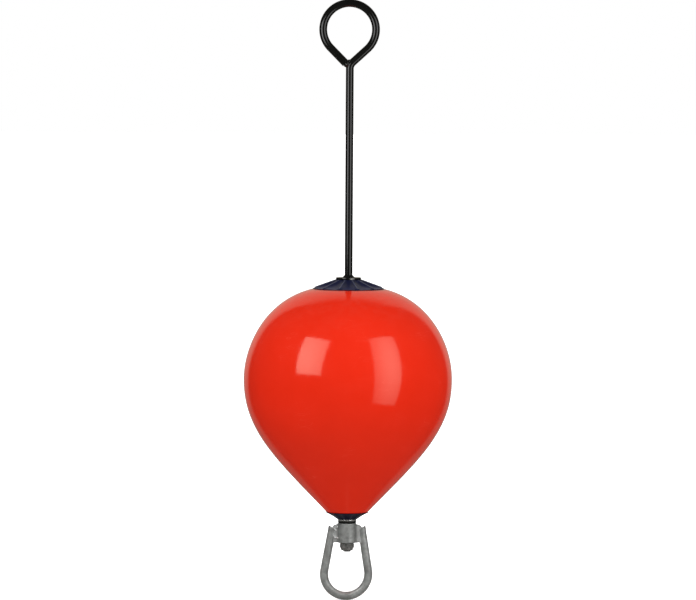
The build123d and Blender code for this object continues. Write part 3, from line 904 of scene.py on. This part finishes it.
# loop: a circle carried down the left leg, round the bow and up the right leg; the ends' rims are rounded
# and slanted: near an end the points move along the leg by tan(slant) times their distance across it
def makeLoop(size):
    bow, tip, lean = loopPlan(size)
    mirror = np.array([-1, 1])
    rightTouch = bow + heading(lean) * size["radius"]
    leftLeg = straight(tip * mirror, rightTouch * mirror, size["legSteps"])
    path = outline(
        leftLeg,
        arc(bow, size["radius"], 180 - lean, 360 + lean, size["bowSteps"]),
        leftLeg[::-1] * mirror,
    )
    edge = size["tipEdge"]
    steps = runLength(path)
    rim = np.linspace(0, edge, size["rimRows"])  # extra rows at each end for the rounded rim
    along = np.unique(np.concatenate([steps, rim, steps[-1] - rim]))
    path = np.column_stack([np.interp(along, steps, path[:, 0]), np.interp(along, steps, path[:, 1])])
    fromEnd = np.minimum(along, along[-1] - along)[:, None]
    short = np.clip(edge - fromEnd, 0, edge)
    r = size["bar"] - (edge - np.sqrt(edge**2 - short**2))
    angles = roundAngles(size["columns"])
    swell = uneven(carried(path, r, angles), size["unevenSize"], size["unevenPhase"])
    r = r + size["unevenHeight"] * swell
    points = carried(path, r, angles)
    normal = outlineNormals(path)
    tangent = np.column_stack([normal[:, 1], -normal[:, 0]])
    tangent[len(path) // 2 :] *= -1  # away from the nearer end
    slant = np.tan(np.radians(size["tipSlant"])) * np.clip(1 - fromEnd / size["slantReach"], 0, 1)
    sink = (r * np.cos(angles) + size["slantFrom"]) * slant
    points[..., 0] += tangent[:, :1] * sink
    points[..., 2] += tangent[:, 1:] * sink
    points[..., 0] += size["sway"] * np.clip(tip[1] - points[..., 2], 0, None)
    addPiece("swivelLoop", points, "swivel", "galvanised_steel", ["swivel_loop"])


makeLoop(loopSizes)

webSizes = {
    "sides": {
        "webLeft": {
            "node": "swivel_web_left", "turn": -1, "halfThickness": 5.5 * mm, "waist": 1.3 * mm,
            "headDrops": (0.6, 5.3, 0.7, 7.2),  # mm under the sleeve's top
        },
        "webRight": {
            "node": "swivel_web_right", "turn": 1, "halfThickness": 6.5 * mm, "waist": 0.7 * mm,
            "headDrops": (3.2, 1.8, 4.0, 5.9),
        },
    },
    "footRises": (0.4, 0.8, 4.0, -14.0),  # mm over its bottom
    "root": 2.2 * mm, "corner": 1.8 * mm,
    "beadAsides": (17.5, 22.1, 19.9, 24.0, 24.6, 21.0, 16.0),  # the bead's bends: mm from the bar's axis
    "beadDrops": (6.5, 10.0, 12.9, 16.8, 21.5, 26.9, 26.4),  # and mm under the sleeve's top
    "beadHeight": 1.8 * mm, "beadHalf": 1.6 * mm,
    "beadFade": 2 * mm,  # over this the bead dies out at the web's head and foot
    "puddle": 2.3 * mm, "puddleLag": 0.5, "puddleShare": 0.3,
    # painted light: faces a little lighter, pale glints on the bead; painted shade near the sleeve
    "paintedFaceLight": 0.26, "shineGain": 2.2, "shineLess": 0.5,
    "glintMiddle": 0.5, "glintGain": 1.8, "glintSize": 4 * mm, "glintPhase": 0.9,
    "lump": 0.2 * mm, "lumpSize": 6 * mm, "lumpPhase": 2.0,
    "creviceShade": 0.5, "creviceHalf": 2.5 * mm,
    "creviceRidge": 0.4,  # no painted shade where the bead stands higher than this share
    "faceSteps": 72, "edgeSteps": 12, "cornerSteps": 6, "rows": 60, "sharp": 70,
}


# rounded box section, a corner circle carried round a rectangle: shares of the one, direction on the other
def boxSection(size):
    face, edge, bend = size["faceSteps"], size["edgeSteps"], size["cornerSteps"]
    runs = []
    for quarter, (side, steps) in enumerate(((1, face), (1, edge), (-1, face), (-1, edge))):
        turn = np.radians(np.linspace(90 * quarter, 90 * quarter + 90, bend + 1)[1:-1])
        t = np.linspace(-1, 1, steps)
        ends = np.full(steps, side)
        across, up = ((ends, t), (-t, ends), (ends, -t), (t, ends))[quarter]
        flat = np.full(steps, np.pi / 2 * quarter)
        runs.append(np.stack([across, up, np.cos(flat), np.sin(flat)]))
        corner = np.ones_like(turn)
        runs.append(np.stack([across[-1] * corner, up[-1] * corner, np.cos(turn), np.sin(turn)]))
    return np.concatenate(runs, axis=1)


# distance of points from a line of straight stretches through the given bends
def fromLine(x, y, bends):
    nearest = np.full(x.shape, np.inf)
    for (startX, startY), (runX, runY) in zip(bends[:-1], np.diff(bends, axis=0)):
        share = ((x - startX) * runX + (y - startY) * runY) / (runX**2 + runY**2)
        share = np.clip(share, 0, 1)
        nearest = np.minimum(nearest, np.hypot(x - startX - share * runX, y - startY - share * runY))
    return nearest


# weld web: stations from inside the sleeve to the leg's middle line. Each has a rounded box for its section
# in YZ, whose head and foot follow cubic curves and whose faces are pinched in between. On one face a woven
# bead stands proud: a hump of the distance from a zigzag line, raised a little at the front of each puddle.
# Marks: painted highlight on the bead's glints and, less, on both faces; painted shade along the sleeve.
def makeWebs(size):
    outer, low, high = span("swivel_sleeve")
    tip, lean = loopPlan(loopSizes)[1:]
    tilt = np.tan(np.radians(lean))
    middle = (low + high) / 2
    legX = tip[0] + tilt * (tip[1] - middle)
    x = straight([outer - size["root"]], [legX], size["rows"])
    clear = np.clip((x - outer) / (legX - outer), 0, 1)
    foot = low + mm * cubic(clear, size["footRises"])
    across, up, turnY, turnZ = boxSection(size)
    corner, fade, puddleShare = size["corner"], size["beadFade"], size["puddleShare"]
    bends = mm * np.column_stack([size["beadAsides"], size["beadDrops"]])
    onFace = np.abs(turnY) > 0.5
    for name, web in size["sides"].items():
        head = high - mm * cubic(clear, web["headDrops"])
        half = web["halfThickness"] - web["waist"] * np.sin(np.pi * clear)
        y = across * (half - corner) + corner * turnY
        z = (head + foot) / 2 + up * ((head - foot) / 2 - corner) + corner * turnZ
        xLean = x + clear * tilt * (middle - z)
        away = fromLine(xLean, high - z, bends)
        lag = size["puddleLag"] * (away / size["beadHalf"]) ** 2
        puddle = 1 - ((high - z) / size["puddle"] + lag) % 1
        ends = np.clip((head - z) / fade, 0, 1) * np.clip((z - foot) / fade, 0, 1)
        ridge = hump(away, size["beadHalf"]) * (1 - puddleShare + puddleShare * np.sqrt(puddle))
        ridge = ridge * ends * (onFace & (turnY > 0))
        y = y + size["beadHeight"] * ridge
        spots = np.stack([xLean, y, z], axis=-1)
        lump = size["lump"] * uneven(spots, size["lumpSize"], size["lumpPhase"])
        points = np.stack([xLean, y + turnY * lump, z + turnZ * lump], axis=-1)
        points *= np.array([web["turn"], web["turn"], 1])  # bead in front on the left, behind on the right
        # painted shade near the sleeve; painted highlight on the bead's glints and, less, on the faces
        shade = np.clip(1 - np.abs(xLean - outer) / size["creviceHalf"], 0, 1) * size["creviceShade"]
        glint = size["glintGain"] * uneven(spots, size["glintSize"], size["glintPhase"])
        glint = np.clip(size["glintMiddle"] + glint, 0, 1)
        shine = np.clip(size["shineGain"] * ridge - size["shineLess"], 0, 1) * glint
        shine = np.maximum(shine, size["paintedFaceLight"] * onFace * ends)
        marks = {"paintedHighlight": shine, "creviceShade": shade * (ridge < size["creviceRidge"])}
        addPiece(name, points, "swivel", "galvanised_steel", [web["node"]], sharp=size["sharp"], marks=marks)


makeWebs(webSizes)
print("pieces made")

studio = {
    "elevation": 3.0,
    "distance": 12.0,
    "lens": 348,
    "farthest": 100,
    "middle": (-0.00075, 0, 0.1623),
    "roll": 0.35,
    "ambient": 0.55,  # even light from all round, for matt surfaces
    "overhead": 0.45,  # how much more of it comes from straight above
    "dark": 0.03,  # what shiny surfaces see of the room
    "below": 0.10,  # and of its floor, straight down
    "floorLine": 0.15,  # how far under level that floor begins
    "screenLow": 0.20,  # pale warm screen behind: under eye level and above it
    "screenHigh": 0.46,
    "screenLift": (-0.3, 0.15),  # height over distance where one gives way to the other
    "screenFade": (0.9, 2.3),  # and where the screen fades out
    "screenSides": (0.58, 0.82),  # offset over distance where it ends
    "screenColour": (1.0, 0.95, 0.80),
    "leastBehind": 0.001,
    "floorHalf": 30,
    "floorBounce": 0.50,
    "floorWhite": 0.80,
    "floorGlow": 0.42,
    "glowNear": 0.6,  # from here to there the floor's own white takes over from the lamps
    "glowFar": 1.5,
}
# hot: middle of a panel's brightest part, from its lower left corner; soft: how fast it falls off; rim: the
# share that is left in the end; shine: whether shiny surfaces see the panel
evenPanel = {"hot": (0.5, 0.5), "soft": 1.0, "rim": 0.6, "shine": False, "roll": 0}
backPanel = {"elevation": 25, "distance": 2.4, "width": 1.7, "height": 1.9, "glow": 1.9, **evenPanel}
softboxes = {
    "keyLeft": {
        "azimuth": -41.8, "elevation": 28.0, "distance": 1.1, "width": 0.555, "height": 0.735, "roll": 1.3,
        "glow": 3.65, "hot": (0.25, 0.45), "soft": 0.75, "rim": 0.5, "shine": True,
    },
    "keyRight": {
        "azimuth": 42.7, "elevation": 13.9, "distance": 1.1, "width": 0.592, "height": 1.463, "roll": -6.3,
        "glow": 2.50, "hot": (0.6, 0.62), "soft": 0.55, "rim": 0.25, "shine": True,
    },
    "fillFront": {
        "azimuth": 0, "elevation": -18, "distance": 3.0, "width": 2.0, "height": 1.6, "glow": 2.5,
        **evenPanel,
    },
    "fillLeft": {"azimuth": -145, **backPanel},
    "fillRight": {"azimuth": 145, **backPanel},
}


# direction from the object: azimuth from the camera's side towards +X, elevation above level, in degrees
def aim(azimuth, elevation):
    level = np.cos(np.radians(elevation))
    turn = np.radians(azimuth)
    return Vector((np.sin(turn) * level, -np.cos(turn) * level, np.sin(np.radians(elevation))))


# something that looks along its own -Z, put at a spot, facing back along the given direction and rolled
def lookBack(spot, away, roll):
    facing = (-away).to_track_quat("-Z", "Y").to_matrix() @ Matrix.Rotation(np.radians(roll), 3, "Z")
    return Matrix.Translation(spot) @ facing.to_4x4()


def addCamera(setup):
    back = aim(0, setup["elevation"])
    cameraData = bpy.data.cameras.new("camera")
    cameraData.lens = setup["lens"]
    cameraData.clip_end = setup["farthest"]
    camera = bpy.data.objects.new("camera", cameraData)
    camera.matrix_world = lookBack(Vector(setup["middle"]) + back * setup["distance"], back, setup["roll"])
    bpy.context.scene.collection.objects.link(camera)
    bpy.context.scene.camera = camera


# softbox: a panel aimed at the float. Its glow is the light a white sheet in its place would show, and falls
# off round its hot spot as exp(-(distance / soft)^2), down to the rim's share.
def addSoftboxes(boxes):
    for name, box in boxes.items():
        lampData = bpy.data.lights.new(name, "AREA")
        lampData.shape = "RECTANGLE"
        lampData.size, lampData.size_y = box["width"], box["height"]
        lampData.energy = np.pi * box["glow"] * box["width"] * box["height"]
        lampData.use_nodes = True
        tree = lampData.node_tree
        place = addNode(tree, "ShaderNodeNewGeometry")
        away = addNode(tree, "ShaderNodeVectorMath", {"operation": "DISTANCE"})
        tree.links.new(place.outputs["Parametric"], away.inputs[0])
        away.inputs[1].default_value = (*box["hot"], 0)
        reach = sums(tree, "DIVIDE", away.outputs["Value"], box["soft"])
        fall = sums(tree, "EXPONENT", sums(tree, "MULTIPLY", sums(tree, "MULTIPLY", reach, reach), -1.0))
        share = sums(tree, "MULTIPLY_ADD", fall, 1 - box["rim"], box["rim"])
        tree.links.new(share, tree.nodes["Emission"].inputs["Strength"])
        lamp = bpy.data.objects.new(name, lampData)
        back = aim(box["azimuth"], box["elevation"])
        lamp.matrix_world = lookBack(back * box["distance"], back, box["roll"])
        lamp.visible_camera = False
        lamp.visible_glossy = box["shine"]
        bpy.context.scene.collection.objects.link(lamp)


# 1 for what the camera sees straight on or through something clear
def seenPlainly(tree, path):
    return sums(tree, "MAXIMUM", path.outputs["Is Camera Ray"], path.outputs["Is Transmission Ray"])


# world: white to the camera; even soft light for matt surfaces; shiny ones see a dim room, its floor, and a
# pale screen behind the object that is brighter higher up
def addWorld(setup):
    world = bpy.data.worlds.new("studioWorld")
    bpy.context.scene.world = world
    world.use_nodes = True
    tree = world.node_tree
    background = tree.nodes["Background"]
    path = addNode(tree, "ShaderNodeLightPath")
    place = addNode(tree, "ShaderNodeTexCoord")
    split = addNode(tree, "ShaderNodeSeparateXYZ", Vector=place.outputs["Generated"])
    height = split.outputs["Z"]
    behind = sums(tree, "MAXIMUM", split.outputs["Y"], setup["leastBehind"])
    sideways = sums(tree, "DIVIDE", sums(tree, "ABSOLUTE", split.outputs["X"]), behind)
    upward = sums(tree, "DIVIDE", height, behind)
    screen = sums(tree, "SUBTRACT", 1.0, softStep(tree, sideways, *setup["screenSides"]))
    screenTop = sums(tree, "SUBTRACT", 1.0, softStep(tree, upward, *setup["screenFade"]))
    lift = softStep(tree, upward, *setup["screenLift"])
    tone = sums(tree, "MULTIPLY_ADD", lift, setup["screenHigh"] - setup["screenLow"], setup["screenLow"])
    seen = sums(tree, "MULTIPLY", sums(tree, "MULTIPLY", screen, screenTop), tone)
    line = setup["floorLine"]
    sunk = sums(tree, "MULTIPLY_ADD", height, -(1 + line), -line)  # 0 at the floor's line, 1 straight down
    room = sums(tree, "MAXIMUM", sums(tree, "MULTIPLY", sunk, setup["below"]), setup["dark"])
    seen = sums(tree, "MAXIMUM", seen, room)
    shiny = path.outputs["Is Glossy Ray"]
    above = sums(tree, "MAXIMUM", height, 0.0)
    even = sums(tree, "MULTIPLY_ADD", above, setup["overhead"] * setup["ambient"], setup["ambient"])
    soft = sums(tree, "MULTIPLY", sums(tree, "SUBTRACT", 1.0, shiny), even)
    strength = sums(tree, "MULTIPLY_ADD", shiny, seen, soft)
    strength = sums(tree, "MAXIMUM", strength, seenPlainly(tree, path))
    tree.links.new(strength, background.inputs["Strength"])
    tint = mixColours(tree, shiny, (1, 1, 1), setup["screenColour"])
    tree.links.new(tint, background.inputs["Color"])


# floor: a matt sheet under the loop that keeps the shadow; lit white to the camera near the object and
# glowing white farther off, grey to the light it throws back, see-through from below
def addFloor(setup):
    half = setup["floorHalf"]
    level = span("swivel_loop")[1]
    corners = [(-half, -half, level), (half, -half, level), (half, half, level), (-half, half, level)]
    mesh = bpy.data.meshes.new("floor")
    mesh.from_pydata(corners, [], [(0, 1, 2, 3)])
    look, tree, shader = newLook("floorWhite", Roughness=1.0, Specular_IOR_Level=0.0)
    clear = seenPlainly(tree, addNode(tree, "ShaderNodeLightPath"))
    bounce, white = (setup["floorBounce"],) * 3, (setup["floorWhite"],) * 3
    tree.links.new(mixColours(tree, clear, bounce, white), shader.inputs["Base Color"])
    place = addNode(tree, "ShaderNodeTexCoord")
    length = addNode(tree, "ShaderNodeVectorMath", {"operation": "LENGTH"})
    tree.links.new(place.outputs["Object"], length.inputs[0])
    far = softStep(tree, length.outputs["Value"], setup["glowNear"], setup["glowFar"])
    glow = sums(tree, "MULTIPLY_ADD", far, 1 - setup["floorGlow"], setup["floorGlow"])
    shader.inputs["Emission Color"].default_value = (1, 1, 1, 1)
    tree.links.new(sums(tree, "MULTIPLY", clear, glow), shader.inputs["Emission Strength"])
    surface = addNode(tree, "ShaderNodeNewGeometry")
    seeThrough = addNode(tree, "ShaderNodeBsdfTransparent")
    mix = addNode(tree, "ShaderNodeMixShader")
    tree.links.new(surface.outputs["Backfacing"], mix.inputs["Fac"])
    tree.links.new(shader.outputs["BSDF"], mix.inputs[1])
    tree.links.new(seeThrough.outputs["BSDF"], mix.inputs[2])
    tree.links.new(mix.outputs["Shader"], tree.nodes["Material Output"].inputs["Surface"])
    mesh.materials.append(look)
    floor = bpy.data.objects.new("floor", mesh)
    floor.visible_glossy = False  # the world shows shiny surfaces what lies below
    floor.visible_shadow = False  # the right panel reaches below it
    bpy.context.scene.collection.objects.link(floor)


addCamera(studio)
addSoftboxes(softboxes)
addWorld(studio)
addFloor(studio)
bpy.context.scene.view_settings.view_transform = "Standard"
print("studio made")
